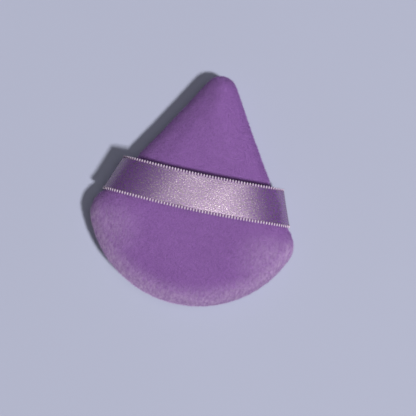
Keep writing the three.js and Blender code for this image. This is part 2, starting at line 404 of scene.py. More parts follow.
# %% [markdown]
# ## Blank of the pad
#
# Foam under cloth gives a low, even crown with a full round edge. The blank starts as a circle moved onto
# the outline and extruded into a thin band at the seam. Its two caps are then inset and raised ring by
# ring: near the edge with even insets, which keep the roll of the edge the same all round, and further in
# with scaled copies, which close over the middle without pinching.

# %% Caps of the blank
SEAM_BAND = 1.0 * MM
CROWN_FULLNESS = 5
EDGE_SQUARENESS = 2.2
EDGE_INSETS = [0.25 * MM, 0.7 * MM, 1.4 * MM, 2.5 * MM, 4.0 * MM]
MIDDLE_SIZES = np.linspace(0.9, 0.1, 9)

towards_middle = np.array(pad_middle.xy) - outline_at
crown_reach = -(outline_out * towards_middle).sum(axis=1).max()


def crown_share(inset):
    share = min(1, inset / crown_reach)
    return (1 - (1 - share) ** CROWN_FULLNESS) ** (1 / EDGE_SQUARENESS)


def select_cap(piece, side):
    mesh = bmesh.from_edit_mesh(piece.data)
    bpy.ops.mesh.select_all(action="DESELECT")
    cap = max(mesh.faces, key=lambda face: side * face.calc_center_median().z)
    cap.select_set(True)
    bmesh.update_edit_mesh(piece.data)


def extrude_up(height):
    bpy.ops.mesh.extrude_region_move(TRANSFORM_OT_translate={"value": (0, 0, height)})


def raise_cap(piece, side, height):
    select_cap(piece, side)
    inset, rise = 0, SEAM_BAND
    for further in EDGE_INSETS:
        higher = height * crown_share(further)
        bpy.ops.mesh.inset(thickness=further - inset, depth=higher - rise)
        inset, rise = further, higher
    size = 1
    for smaller in MIDDLE_SIZES:
        higher = height * crown_share(inset + (1 - smaller) * (crown_reach - inset))
        extrude_up(side * (higher - rise))
        shrink = smaller / size
        bpy.ops.transform.resize(value=(shrink, shrink, 1), center_override=pad_middle)
        size, rise = smaller, higher


print("the crown is full", round(crown_reach / MM, 1), "mm in from the edge")

# %% Pad blank
BACK_RISE = 6.6 * MM
FACE_RISE = 6.8 * MM
BLANK_STRIDE = 3


def face_outwards():
    bpy.ops.mesh.select_all(action="SELECT")
    bpy.ops.mesh.normals_make_consistent(inside=False)


bpy.ops.object.select_all(action="DESELECT")
ring = outline_at[::BLANK_STRIDE]
bpy.ops.mesh.primitive_circle_add(vertices=len(ring), radius=1, fill_type="NGON")
pad = bpy.context.object
pad.name = "pad_blank"
set_places(pad, [(x, y, seam_z - SEAM_BAND) for x, y in ring])
edit_all(pad)
bpy.ops.mesh.select_mode(type="FACE")
extrude_up(2 * SEAM_BAND)
face_outwards()
raise_cap(pad, 1, BACK_RISE)
raise_cap(pad, -1, FACE_RISE)
face_outwards()
leave_edit_mode()
print("blank:", len(pad.data.vertices), "points, height", round(pad.dimensions.z / MM, 2), "mm")

# %% [markdown]
# ## Inflating the pad
#
# The foam presses on the cloth from inside, which is what Blender's cloth simulation does when it is given
# pressure. The blank is a little too small, so the cloth swells to its size and keeps the small unevenness
# that real padding has. The simulation's settings suit things about a metre across, so it runs at ten times
# the size. The seam is pinned. Only the swell along the surface's normals is kept, up to a set cap, and it
# is evened out between neighbours, because foam irons out the short wrinkles that cloth alone would keep.

# %% Cloth that swells
SIM_SCALE = 10
SIM_PRESSURE = 4
SIM_FRAMES = 20
SIM_CAP = 6 * MM
IRONING_ROUNDS = 24


def ironed(piece, field):
    ends = np.array([edge.vertices[:] for edge in piece.data.edges])
    count = np.bincount(ends.ravel(), minlength=len(field))[:, None]
    for _ in range(IRONING_ROUNDS):
        total = np.zeros_like(field)
        np.add.at(total, ends[:, 0], field[ends[:, 1]])
        np.add.at(total, ends[:, 1], field[ends[:, 0]])
        field = (field + total / count) / 2
    return field


def inflate(piece):
    before, outwards = places_of(piece), read_points(piece, "normal")
    pinned = piece.vertex_groups.new(name="seam")
    near_seam = np.abs(before[:, 2] - SIM_SCALE * seam_z) < SIM_SCALE * SEAM_BAND / 2
    pinned.add(np.flatnonzero(near_seam).tolist(), 1, "REPLACE")
    cloth = piece.modifiers.new("Cloth", "CLOTH")
    cloth.settings.use_pressure = True
    cloth.settings.uniform_pressure_force = SIM_PRESSURE
    cloth.settings.effector_weights.gravity = 0
    cloth.settings.vertex_group_mass = pinned.name
    for number in range(1, SIM_FRAMES + 1):
        bpy.context.scene.frame_set(number)
    apply_modifier(piece, cloth)
    bpy.context.scene.frame_set(1)
    swell = ((places_of(piece) - before) * outwards).sum(axis=1, keepdims=True)
    print("cloth swelled", np.round(np.median(swell) / MM / SIM_SCALE, 2), "mm at the median")
    swell = ironed(piece, np.clip(swell, 0, SIM_CAP))
    set_places(piece, before + swell * outwards)


print("cloth runs for", SIM_FRAMES, "frames")

# %% Inflate the pad
SIM_VOXEL = 8 * MM


def remesh(piece, voxel):
    modifier = piece.modifiers.new("Remesh", "REMESH")
    modifier.mode = "VOXEL"
    modifier.voxel_size = voxel
    apply_modifier(piece, modifier)


pad.data.transform(Matrix.Scale(SIM_SCALE, 4))
remesh(pad, SIM_VOXEL)
inflate(pad)
pad.data.transform(Matrix.Scale(1 / SIM_SCALE, 4))
smooth(pad)
print("pad:", len(pad.data.vertices), "points, height", round(pad.dimensions.z / MM, 2), "mm")

# %% [markdown]
# ## Settling the pad
#
# The puff lies on its powdering face, and its weight presses the middle of that face flat, with the pile
# squeezed between the cloth and the table. A plain cut at the table's height would leave a hard crease, so
# each point's height is bent over to that level by a smooth curve. This, and the seam after it, is finer
# than the simulation's mesh, so one subdivision comes first.

# %% Settle the pad on its face
PRESSED_PILE = 0.5 * MM
FLAT_SOFTNESS = 0.5 * MM

finer = pad.modifiers.new("Subdivision", "SUBSURF")
finer.levels = finer.render_levels = 1
apply_modifier(pad, finer)
places = places_of(pad)
above = places[:, 2] - PRESSED_PILE
places[:, 2] = PRESSED_PILE + (above + np.sqrt(above**2 + FLAT_SOFTNESS**2)) / 2
set_places(pad, places)
heights = places[:, 2] / MM
print("pad rests", round(heights.min(), 2), "mm up, its top is at", round(heights.max(), 2), "mm")

# %% [markdown]
# ## Sewing the seam
#
# The two panels meet in a seam half way up the edge, where the stitches draw the cloth in to a fine groove
# with a pucker at each stitch. Each point near the seam looks up the nearest point of the outline, which
# tells it which way is in and how far along the row of stitches it lies.

# %% Sew the seam
SEAM_GROOVE = 0.9 * MM
SEAM_REACH = 1.5 * MM
STITCH_PITCH = 3 * MM
PUCKER = 0.25

outline_steps = np.linalg.norm(np.diff(outline_at, axis=0, append=outline_at[:1]), axis=1)
outline_run = np.concatenate([[0], np.cumsum(outline_steps)[:-1]])
seam_length = outline_steps.sum()
outline_search = kdtree.KDTree(len(outline_at))
for number, (x, y) in enumerate(outline_at):
    outline_search.insert((x, y, 0), number)
outline_search.balance()

places = places_of(pad)
beside_seam = np.abs(places[:, 2] - seam_z) < SEAM_REACH
sewn = places[beside_seam]
nearest = np.array([outline_search.find((x, y, 0))[1] for x, y, _ in sewn])
closeness = (1 - ((sewn[:, 2] - seam_z) / SEAM_REACH) ** 2) ** 2
drawn_in = 1 + PUCKER * np.cos(2 * math.pi * outline_run[nearest] / STITCH_PITCH)
sewn[:, :2] -= (SEAM_GROOVE * closeness * drawn_in)[:, None] * outline_out[nearest]
places[beside_seam] = sewn
set_places(pad, places)
print("seam", round(seam_length / MM), "mm long,", round(seam_length / STITCH_PITCH), "stitches")

# %% [markdown]
# ## Unevenness of the cloth
#
# Velour over foam is never quite even: it has shallow swells a finger wide, and its pile lies in small
# tufts. Two Displace modifiers with cloud textures move the surface in and out along its normals, one for
# each scale.

# %% Unevenness of the cloth
SWELL_SIZE = 9 * MM
SWELL_HEIGHT = 0.35 * MM
TUFT_SIZE = 1.2 * MM
TUFT_HEIGHT = 0.06 * MM


def ripple(piece, name, kind, size, height, mid_level=0.5):
    pattern = bpy.data.textures.new(name, kind)
    pattern.noise_scale = size
    modifier = piece.modifiers.new(name, "DISPLACE")
    modifier.texture = pattern
    modifier.texture_coords = "LOCAL"
    modifier.strength = height
    modifier.mid_level = mid_level
    apply_modifier(piece, modifier)


ripple(pad, "swell", "CLOUDS", SWELL_SIZE, SWELL_HEIGHT)
ripple(pad, "tufts", "CLOUDS", TUFT_SIZE, TUFT_HEIGHT)
keep_above(pad, PRESSED_PILE)
print("pad measures", [round(side / MM, 1) for side in pad.dimensions], "mm")

# %% [markdown]
# ## Cutting the two panels
#
# On the bench the two panels are cut from a sheet and sewn. Here the inflated pad already has the shape of
# both, so a copy of it is bisected at the seam for each panel, with a hair's breadth between the two.

# %% Cut the panels
SEAM_SPLIT = 0.16 * MM


def cut_panel(side, name):
    panel = copy_of(pad, name)
    edit_all(panel)
    cut = (0, 0, seam_z + side * SEAM_SPLIT)
    bpy.ops.mesh.bisect(plane_co=cut, plane_no=(0, 0, side), clear_inner=True)
    leave_edit_mode()
    return panel


velour_back = cut_panel(1, "velour_back")
velour_face = cut_panel(-1, "velour_face")
bpy.data.objects.remove(pad)
print("panels:", triangle_count(velour_back), "and", triangle_count(velour_face), "triangles")

# %% [markdown]
# ## Pile
#
# What makes cloth velour is its pile: short fibres that stand on the ground and lie over in patches,
# lighter where they face the light. Geometry Nodes scatters small tufts over each panel, stands them on the
# surface and combs them over. A tuft is a three-sided cone of four faces, because there are tens of
# thousands of them. The attribute "pile" thins and shortens them at the seam and where the ribbon presses
# on the edge.

# %% Where the pile stands
SEAM_BARE = 0.35 * MM
SEAM_FULL = 1.6 * MM
RIBBON_PRESS = 7.6 * MM
PRESSED_SHARE = 0.3


def smoothstep(values, low, high):
    share = np.clip((values - low) / (high - low), 0, 1)
    return share * share * (3 - 2 * share)


def mark_pile(panel):
    places = places_of(panel)
    height = np.abs(places[:, 2] - seam_z)
    standing = smoothstep(height, SEAM_BARE, SEAM_FULL)
    pressed = (np.abs(places[:, 1]) < RIBBON_PRESS) & (height < 2 * SEAM_FULL)
    standing[pressed] *= PRESSED_SHARE
    attribute = panel.data.attributes.new("pile", "FLOAT", "POINT")
    attribute.data.foreach_set("value", standing)


for panel in (velour_back, velour_face):
    mark_pile(panel)
print("pile marked on both panels")

# %% Helpers that calculate
def calculate(tree, kind, operation, values):
    node = add_node(tree, kind, {"operation": operation})
    for socket, value in zip(node.inputs, values):
        plug(tree, value, socket)
    return node


def math_node(tree, operation, *values):
    return calculate(tree, "ShaderNodeMath", operation, values).outputs["Value"]


def vector_node(tree, operation, *values):
    return calculate(tree, "ShaderNodeVectorMath", operation, values).outputs["Vector"]


print("calculating helpers ready")

# %% Nodes for one tuft
PILE_LENGTH = 0.65 * MM
PILE_RADIUS = 0.07 * MM
PILE_SHORTEST = 0.7
PILE_LONGEST = 1.15
PILE_COMB = (0.15, -0.45, 0)
PILE_TOUSLE = 0.3
PILE_PATCH = 80
PILE_JITTER = 0.35
JITTER_SEED = 2
# A Random Value node has sockets for each kind of data: first for vectors, then for numbers.
VECTOR_LOW, VECTOR_HIGH, NUMBER_LOW, NUMBER_HIGH = range(4)
VECTOR_OUT, NUMBER_OUT = range(2)


def tuft_shape(tree):
    cone = add_node(tree, "GeometryNodeMeshCone", Vertices=3, Side_Segments=1, Radius_Top=0.0,
                    Radius_Bottom=PILE_RADIUS, Depth=PILE_LENGTH)
    place = add_node(tree, "GeometryNodeInputPosition").outputs["Position"]
    height = add_node(tree, "ShaderNodeSeparateXYZ", Vector=place).outputs["Z"]
    # The share of each tuft's height, stored as "tip", makes its root darker in the velour finish: painted
    # shade where light doesn't reach between the fibres.
    share = math_node(tree, "DIVIDE", height, PILE_LENGTH)
    marked = add_node(tree, "GeometryNodeStoreNamedAttribute", {"data_type": "FLOAT"}, Name="tip",
                      Geometry=cone.outputs["Mesh"], Value=share)
    return marked.outputs["Geometry"]


def tuft_size(tree, standing):
    size = add_node(tree, "FunctionNodeRandomValue", {"data_type": "FLOAT"})
    size.inputs[NUMBER_LOW].default_value = PILE_SHORTEST
    size.inputs[NUMBER_HIGH].default_value = PILE_LONGEST
    return math_node(tree, "MULTIPLY", size.outputs[NUMBER_OUT], standing)


def tuft_turn(tree, normal):
    patches = add_node(tree, "ShaderNodeTexNoise", Scale=PILE_PATCH, Detail=2.0).outputs["Color"]
    least = [comb - PILE_TOUSLE / 2 for comb in PILE_COMB]
    tousle = vector_node(tree, "MULTIPLY_ADD", patches, [PILE_TOUSLE] * 3, least)
    jitter = add_node(tree, "FunctionNodeRandomValue", {"data_type": "FLOAT_VECTOR"}, Seed=JITTER_SEED)
    jitter.inputs[VECTOR_LOW].default_value = [-PILE_JITTER] * 3
    jitter.inputs[VECTOR_HIGH].default_value = [PILE_JITTER] * 3
    combed = vector_node(tree, "ADD", normal, tousle)
    lean = vector_node(tree, "ADD", combed, jitter.outputs[VECTOR_OUT])
    return add_node(tree, "FunctionNodeAlignRotationToVector", Vector=lean).outputs["Rotation"]


print("a tuft is", round(PILE_LENGTH / MM, 2), "mm long")

# %% Nodes that scatter the pile
PILE_APART = 0.215 * MM
PILE_DENSITY = 45 / MM**2
SCATTER_SEED = 4


def pile_scatter():
    tree = bpy.data.node_groups.new("Velour pile", "GeometryNodeTree")
    for way in ("INPUT", "OUTPUT"):
        tree.interface.new_socket("Geometry", in_out=way, socket_type="NodeSocketGeometry")
    ground = add_node(tree, "NodeGroupInput").outputs["Geometry"]
    pile = add_node(tree, "GeometryNodeInputNamedAttribute", {"data_type": "FLOAT"}, Name="pile")
    standing = pile.outputs["Attribute"]
    points = add_node(tree, "GeometryNodeDistributePointsOnFaces", {"distribute_method": "POISSON"},
                      Mesh=ground, Distance_Min=PILE_APART, Density_Max=PILE_DENSITY,
                      Density_Factor=standing, Seed=SCATTER_SEED)
    turn = tuft_turn(tree, points.outputs["Normal"])
    placed = add_node(tree, "GeometryNodeInstanceOnPoints", Points=points.outputs["Points"],
                      Instance=tuft_shape(tree), Rotation=turn, Scale=tuft_size(tree, standing))
    whole = add_node(tree, "GeometryNodeRealizeInstances", Geometry=placed.outputs["Instances"])
    add_node(tree, "NodeGroupOutput", Geometry=whole.outputs["Geometry"])
    return tree


scatter = pile_scatter()
print("pile nodes:", len(scatter.nodes))

# %% Grow the pile
FLATTEST_PILE = 0.05 * MM


def grow_pile(panel, name):
    pile = copy_of(panel, name)
    modifier = pile.modifiers.new("Pile", "NODES")
    modifier.node_group = scatter
    apply_modifier(pile, modifier)
    keep_above(pile, FLATTEST_PILE)
    return pile


pile_back = grow_pile(velour_back, "pile_back")
pile_face = grow_pile(velour_face, "pile_face")
print("pile:", triangle_count(pile_back), "and", triangle_count(pile_face), "triangles")

# %% [markdown]
# ## Turned-in edges
#
# The panels are sewn inside out and turned, which leaves their edges folded into the pad. The cut edge of
# each panel is its only open one, so it is found as the boundary and extruded inwards as the turned-in
# allowance. Solidify then gives the velour its thickness on the inner side.

# %% Turn in the edges
TURNED_IN = 0.9
VELOUR_THICKNESS = 1.1 * MM


def turn_in_edge(panel):
    edit_all(panel)
    bpy.ops.mesh.select_mode(type="EDGE")
    bpy.ops.mesh.select_all(action="DESELECT")
    bpy.ops.mesh.select_non_manifold(
        use_wire=False, use_multi_face=False, use_non_contiguous=False, use_verts=False)
    bpy.ops.mesh.extrude_edges_move()
    bpy.ops.transform.resize(value=(TURNED_IN, TURNED_IN, 1), center_override=pad_middle)
    leave_edit_mode()


def give_thickness(piece, thickness, offset):
    wall = piece.modifiers.new("Solidify", "SOLIDIFY")
    wall.thickness = thickness
    wall.offset = offset
    apply_modifier(piece, wall)


for panel in (velour_back, velour_face):
    turn_in_edge(panel)
    give_thickness(panel, VELOUR_THICKNESS, -1)
    smooth(panel)
print("walls:", triangle_count(velour_back), "and", triangle_count(velour_face), "triangles")

# %% [markdown]
# ## Velour finish
#
# The pile's colour is painted darker at its root, as painted shade where light doesn't reach between the
# fibres, and paler at its tips. On the lobes and along the base it is painted lighter and pinker: partly
# because the pile lies the other way there, and partly as painted sheen, the glow of pile in grazing light.
# The ground cloth and the pile share that look, so it is a node group of its own. Elsewhere, the soft glow
# at grazing angles is the shader's own sheen.

# %% Helpers for patterns
def ramp_between(tree, value, low, high):
    node = add_node(tree, "ShaderNodeMapRange", {"interpolation_type": "SMOOTHSTEP"},
                    Value=value, From_Min=low, From_Max=high)
    return node.outputs["Result"]


def distance_from(tree, places, centre):
    level = vector_node(tree, "MULTIPLY", places, (1, 1, 0))
    return calculate(tree, "ShaderNodeVectorMath", "DISTANCE", (level, (*centre, 0))).outputs["Value"]


def stretched(tree, places, scale):
    return add_node(tree, "ShaderNodeMapping", Vector=places, Scale=scale).outputs["Vector"]


def bumped(tree, height, strength, distance):
    node = add_node(tree, "ShaderNodeBump", Height=height, Strength=strength, Distance=distance)
    return node.outputs["Normal"]


def new_group(name, outputs, inputs=()):
    tree = bpy.data.node_groups.new(name, "ShaderNodeTree")
    for way, sockets in (("INPUT", inputs), ("OUTPUT", outputs)):
        for socket in sockets:
            tree.interface.new_socket(socket, in_out=way, socket_type="NodeSocketFloat")
    return tree, add_node(tree, "NodeGroupOutput")


def add_group(tree, group, **values):
    return add_node(tree, "ShaderNodeGroup", {"node_tree": group}, **values)


print("pattern helpers ready")

# %% Group for the lay of the pile and its painted sheen
BRUSHED_SHEEN_RIM = 9 * MM
BRUSHED_SHEEN_LOBE = 16 * MM
BRUSHED_SHEEN_OUT = 2.2 * MM
BRUSHED_SHEEN_DOWN = 5.5 * MM
BRUSHED_SHEEN_TOP = 4 * MM
LOBE_BRUSHED_SHEEN = 0.58
STROKE_SCALE = 1300.0
STROKE_STRETCH = (1, 0.45, 1)
STROKE_RANGE = (0.05, 0.92)
GRAIN_SCALE = 2400.0
MOTTLE_SCALE = 420.0
MOTTLE_RANGE = (0.35, 0.65)
FINE_DETAIL = 4.0

pile_lay_and_sheen, lay_out = new_group("Pile lay and sheen", ["Brushed", "Grain", "Mottle"])
here = object_places(pile_lay_and_sheen)
from_base = distance_from(pile_lay_and_sheen, here, base_centre)
# The base rim and the two lobes are painted lighter: partly where the pile lies the other way, partly
# painted sheen where the pile catches grazing light.
brushed_sheen = ramp_between(pile_lay_and_sheen, from_base, base_radius - BRUSHED_SHEEN_RIM, base_radius)
for side in (-1, 1):
    patch = (side * (lobe_centre[0] + BRUSHED_SHEEN_OUT), lobe_centre[1] - BRUSHED_SHEEN_DOWN)
    lobe = ramp_between(pile_lay_and_sheen, distance_from(pile_lay_and_sheen, here, patch), BRUSHED_SHEEN_LOBE, 0)
    lobe = math_node(pile_lay_and_sheen, "MULTIPLY", lobe, LOBE_BRUSHED_SHEEN)
    brushed_sheen = math_node(pile_lay_and_sheen, "MAXIMUM", brushed_sheen, lobe)
# The painted lightening is kept to the lower part of the pad, towards the base.
height = add_node(pile_lay_and_sheen, "ShaderNodeSeparateXYZ", Vector=here).outputs["Y"]
lower = ramp_between(pile_lay_and_sheen, height, -BRUSHED_SHEEN_TOP, -BRUSHED_SHEEN_LOBE)
brushed_sheen = math_node(pile_lay_and_sheen, "MULTIPLY", brushed_sheen, lower)
streaks = noise_node(pile_lay_and_sheen, stretched(pile_lay_and_sheen, here, STROKE_STRETCH), STROKE_SCALE, FINE_DETAIL)
brushed_sheen = math_node(pile_lay_and_sheen, "MULTIPLY", brushed_sheen, ramp_between(pile_lay_and_sheen, streaks, *STROKE_RANGE))
clouds = noise_node(pile_lay_and_sheen, here, MOTTLE_SCALE, FINE_DETAIL)
wire(pile_lay_and_sheen, lay_out, Brushed=brushed_sheen, Grain=noise_node(pile_lay_and_sheen, here, GRAIN_SCALE),
     Mottle=ramp_between(pile_lay_and_sheen, clouds, *MOTTLE_RANGE))
print("pile lay:", len(pile_lay_and_sheen.nodes), "nodes")

# %% Velour finishes
VELOUR = (0.38, 0.18, 0.52, 1)
# Darker velour: random grain and mottle, and the painted shade at the roots of the tufts.
VELOUR_DEEP_AND_ROOT_SHADE = (0.22, 0.095, 0.33, 1)
# Lighter, pinker velour of the lobes and base rim: partly the pile's lay, partly painted sheen.
VELOUR_BRUSHED_SHEEN = (0.64, 0.5, 0.69, 1)
SHEEN_TINT = (0.9, 0.7, 0.95, 1)
MOTTLE_SHARE = 0.2
BRUSHED_SHEEN_SHARE = 0.89


def velour_finish(name, depth):
    material, tree, shader = new_finish(name)
    lay = add_group(tree, pile_lay_and_sheen)
    # In the pile the colour is painted darker towards each tuft's root: painted shade where light doesn't
    # reach between the fibres. On the ground cloth a random grain takes its place.
    if depth is None:
        share = lay.outputs["Grain"]
    else:
        share = add_node(tree, "ShaderNodeAttribute", {"attribute_name": depth}).outputs["Fac"]
    colour = mix_colours(tree, share, VELOUR_DEEP_AND_ROOT_SHADE, VELOUR)
    mottle = math_node(tree, "MULTIPLY", lay.outputs["Mottle"], MOTTLE_SHARE)
    colour = mix_colours(tree, mottle, colour, VELOUR_DEEP_AND_ROOT_SHADE)
    # The lobes and base rim get the lighter, pinker colour: partly pile lay, partly painted sheen.
    brushed_sheen = math_node(tree, "MULTIPLY", lay.outputs["Brushed"], BRUSHED_SHEEN_SHARE)
    colour = mix_colours(tree, brushed_sheen, colour, VELOUR_BRUSHED_SHEEN)
    relief = bumped(tree, lay.outputs["Grain"], strength=0.5, distance=0.2 * MM)
    wire(tree, shader, Base_Color=colour, Normal=relief, Roughness=0.92, Specular_IOR_Level=0.15,
         Sheen_Weight=0.5, Sheen_Roughness=0.45, Sheen_Tint=SHEEN_TINT)
    return material


velour_ground = velour_finish("velour ground", None)
velour_pile = velour_finish("velour pile", "tip")
for panel, pile in ((velour_back, pile_back), (velour_face, pile_face)):
    dress(panel, velour_ground)
    dress(pile, velour_pile)
print("velour dressed")

# %% [markdown]
# ## Ribbon strap
#
# The strap is a length of half-inch satin ribbon. Each end is caught in a side seam, comes out of it as a
# short tab, folds over and rises over the back. A flat grid is bent along that line: into the seam, round
# the fold and up the arch, which is a superellipse so that its middle stays flat over the fingers. Solidify
# makes it cloth.

# %% Line of the ribbon
RIBBON_THICKNESS = 0.26 * MM
SELVEDGE = 0.45 * MM
TAB_AT_APEX_EDGE = 3.5 * MM
TAB_AT_BASE_EDGE = -0.2 * MM
TAIL_LENGTH = 4 * MM
SEAM_CLEARANCE = 0.15 * MM
FOLD_RADIUS = 0.4 * MM
FOLD_STEPS = 6
ARCH_SQUARENESS = 2.7
ARCH_STEPS = 60

strap_low, strap_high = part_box("ribbon_strap")
ribbon_half = (strap_high.y - strap_low.y) / 2
ribbon_body = ribbon_half - SELVEDGE
strap_top = strap_high.z - RIBBON_THICKNESS / 2


def ribbon_line(y):
    share = (y + ribbon_half) / (2 * ribbon_half)
    seam_x = side_x(y) + SEAM_CLEARANCE
    fold_x = seam_x + TAB_AT_BASE_EDGE + share * (TAB_AT_APEX_EDGE - TAB_AT_BASE_EDGE)
    arch_x, arch_z = fold_x + FOLD_RADIUS, seam_z + FOLD_RADIUS
    line = [(side_x(y) - TAIL_LENGTH, seam_z)]
    for turn in np.linspace(0, math.pi / 2, FOLD_STEPS):
        line.append((fold_x + FOLD_RADIUS * math.sin(turn), arch_z - FOLD_RADIUS * math.cos(turn)))
    for turn in np.linspace(0, math.pi / 2, ARCH_STEPS)[1:]:
        across = math.cos(turn) ** (2 / ARCH_SQUARENESS)
        up = math.sin(turn) ** (2 / ARCH_SQUARENESS)
        line.append((arch_x * across, arch_z + (strap_top - arch_z) * up))
    line = np.array(line)
    run = np.concatenate([[0], np.cumsum(np.linalg.norm(np.diff(line, axis=0), axis=1))])
    return line, run


def ribbon_place(along, y):
    line, run = ribbon_line(y)
    reach = (1 - abs(along)) * run[-1]
    x = math.copysign(np.interp(reach, run, line[:, 0]), along)
    return Vector((x, y, np.interp(reach, run, line[:, 1])))


ribbon_length = 2 * ribbon_line(0)[1][-1]
print("ribbon", round(2 * ribbon_half / MM, 1), "mm wide,", round(ribbon_length / MM, 1), "mm long")

# %% Ribbon
RIBBON_STEPS = 200
RIBBON_STRIPS = 12
RIBBON_DRIFT = -1.5 * MM
# Each wave of the flutter has its rate along the ribbon, its rate across it and its height.
FLUTTER_WAVES = [(9, 2, 1), (17, -3, 0.6)]
FLUTTER_HEIGHT = 0.03 * MM
FLUTTER_AT_MIDDLE = 0.35
CREASE_AT = 0.62
CREASE_SLANT = 0.05
CREASE_WIDTH = 0.05
CREASE_DEPTH = 0.12 * MM
RIBBON_EDGE_ANGLE = math.radians(50)

bpy.ops.object.select_all(action="DESELECT")
bpy.ops.mesh.primitive_grid_add(x_subdivisions=RIBBON_STEPS, y_subdivisions=RIBBON_STRIPS, size=2)
ribbon = bpy.context.object
ribbon.name = ribbon.data.name = "ribbon"


def slack(along, across):
    flutter = sum(height * math.sin(long * along + wide * across) for long, wide, height in FLUTTER_WAVES)
    middle = (1 - along**2) ** 2
    crease = math.exp(-(((along - CREASE_AT - CREASE_SLANT * across) / CREASE_WIDTH) ** 2))
    lift = FLUTTER_HEIGHT * flutter * middle * (FLUTTER_AT_MIDDLE + abs(across)) - CREASE_DEPTH * crease
    return Vector((0, RIBBON_DRIFT * middle, lift))


def cloth_place(along, across):
    return ribbon_place(along, across * ribbon_body) + slack(along, across)


set_places(ribbon, [cloth_place(along, across) for along, across, _ in places_of(ribbon)])
give_thickness(ribbon, RIBBON_THICKNESS, 0)
select_only(ribbon)
bpy.ops.object.shade_smooth_by_angle(angle=RIBBON_EDGE_ANGLE)
print("ribbon:", triangle_count(ribbon), "triangles")

# %% [markdown]
# ## Picot edge
#
# Along both edges the weft threads come out as a row of tiny loops. One loop is a torus of a few faces,
# drawn out to a long ring. It is copied along each edge, turned to follow the ribbon, and the copies are
# joined.

# %% Picot loops
LOOP_PITCH = 0.98 * MM
LOOP_LENGTH = 1.2 * MM
LOOP_WIDTH = 0.5 * MM
LOOP_THREAD = 0.12 * MM
LOOP_SEATED = 0.75 * MM
LOOP_LIFT = 0.12 * MM

bpy.ops.object.select_all(action="DESELECT")
bpy.ops.mesh.primitive_torus_add(
    major_segments=8, minor_segments=4, major_radius=LOOP_WIDTH / 2 - LOOP_THREAD, minor_radius=LOOP_THREAD)
loop = bpy.context.object
edit_all(loop)
bpy.ops.transform.resize(value=(1, LOOP_LENGTH / LOOP_WIDTH, 1))
leave_edit_mode()


def picot_row(side, name):
    count = round(ribbon_length / LOOP_PITCH)
    half_step = 0.5 / count
    copies = []
    for along in (np.arange(count) + 0.5) / count * 2 - 1:
        ahead = cloth_place(along + half_step, side) - cloth_place(along - half_step, side)
        ahead.normalize()
        outwards = Vector((0, side, 0))
        outwards = (outwards - ahead * outwards.dot(ahead)).normalized()
        up = ahead.cross(outwards)
        centre = cloth_place(along, side) + outwards * (LOOP_LENGTH / 2 - LOOP_SEATED)
        centre += up * side * LOOP_LIFT
        turn = Matrix((ahead, outwards, up)).transposed().to_4x4()
        twin = copy_of(loop, name)
        twin.data.transform(Matrix.Translation(centre) @ turn)
        copies.append(twin)
    select_only(copies[0])
    for twin in copies:
        twin.select_set(True)
    bpy.ops.object.join()
    row = bpy.context.object
    row.name = row.data.name = name
    smooth(row)
    return row


picot_apex_side = picot_row(1, "picot_apex_side")
picot_base_side = picot_row(-1, "picot_base_side")
bpy.data.objects.remove(loop)
print("picot:", triangle_count(picot_apex_side) + triangle_count(picot_base_side), "triangles")

# %% [markdown]
# ## Satin finish
#
# Satin shines because its warp floats lie side by side along the ribbon and draw the highlight out along
# it, which is what the shader's anisotropy does. The grid's own UV map, scaled to millimetres, lays out a
# Brick texture: its staggered bricks are the floats, and their joints the fine gaps between them. Noise
# drawn out along the ribbon picks the floats that glint like metal. A stripe at each edge, under the loops,
# is painted darker and matt: painted shade for the dark slots between the loops.

# %% Weave of the satin
# The weave is measured in millimetres, and the edge stripe of painted shade in shares of the ribbon's
# width.
FLOAT_LENGTH = 0.9
FLOAT_WIDTH = 0.18
FLOAT_GAP = 0.02
FLOAT_STAGGER = 0.4
SPARKLE_SCALE = 1.7
SPARKLE_RANGE = (0.3, 0.7)
GLINT_LENGTH = 0.6
GLINT_WIDTH = 0.3
GLINT_RANGE = (0.46, 0.72)
SELVEDGE_SHADE_RANGE = (0.447, 0.456)


def grey(level):
    return (level, level, level, 1)


satin, tree, satin_shader = new_finish("satin")
flat_map = add_node(tree, "ShaderNodeTexCoord").outputs["UV"]
flat_places = stretched(tree, flat_map, (ribbon_length / MM, 2 * ribbon_body / MM, 1))
floats = add_node(tree, "ShaderNodeTexBrick", {"offset": FLOAT_STAGGER}, Vector=flat_places, Scale=1.0,
                  Color1=grey(0), Color2=grey(1), Mortar=grey(0), Mortar_Size=FLOAT_GAP,
                  Brick_Width=FLOAT_LENGTH, Row_Height=FLOAT_WIDTH)
sparkle = ramp_between(tree, noise_node(tree, flat_places, SPARKLE_SCALE), *SPARKLE_RANGE)
glint_places = stretched(tree, flat_places, (1 / GLINT_LENGTH, 1 / GLINT_WIDTH, 1))
glint = ramp_between(tree, noise_node(tree, glint_places, 1.0), *GLINT_RANGE)
across = add_node(tree, "ShaderNodeSeparateXYZ", Vector=flat_map).outputs["Y"]
from_middle = math_node(tree, "ABSOLUTE", math_node(tree, "SUBTRACT", across, 0.5))
# Each edge, under the loops, gets a stripe of painted shade: darker, for the slots between the loops.
edge = ramp_between(tree, from_middle, *SELVEDGE_SHADE_RANGE)
print("weave:", len(tree.nodes), "nodes")

# %% Satin finish
SATIN = (0.23, 0.07, 0.41, 1)
SATIN_DEEP = (0.05, 0.018, 0.085, 1)
# Colour of the painted shade in the slots between the picot loops.
SATIN_EDGE_SHADE = (0.1, 0.022, 0.17, 1)
SATIN_TINT = (1, 0.88, 0.8, 1)
SATIN_GLINT = (0.5, 0.42, 0.46, 1)
SATIN_IOR = 1.85
FLOATS_SEEN = 0.35
GLOSSY = grey(0.17)
SOFT = grey(0.32)
MATT = grey(1)

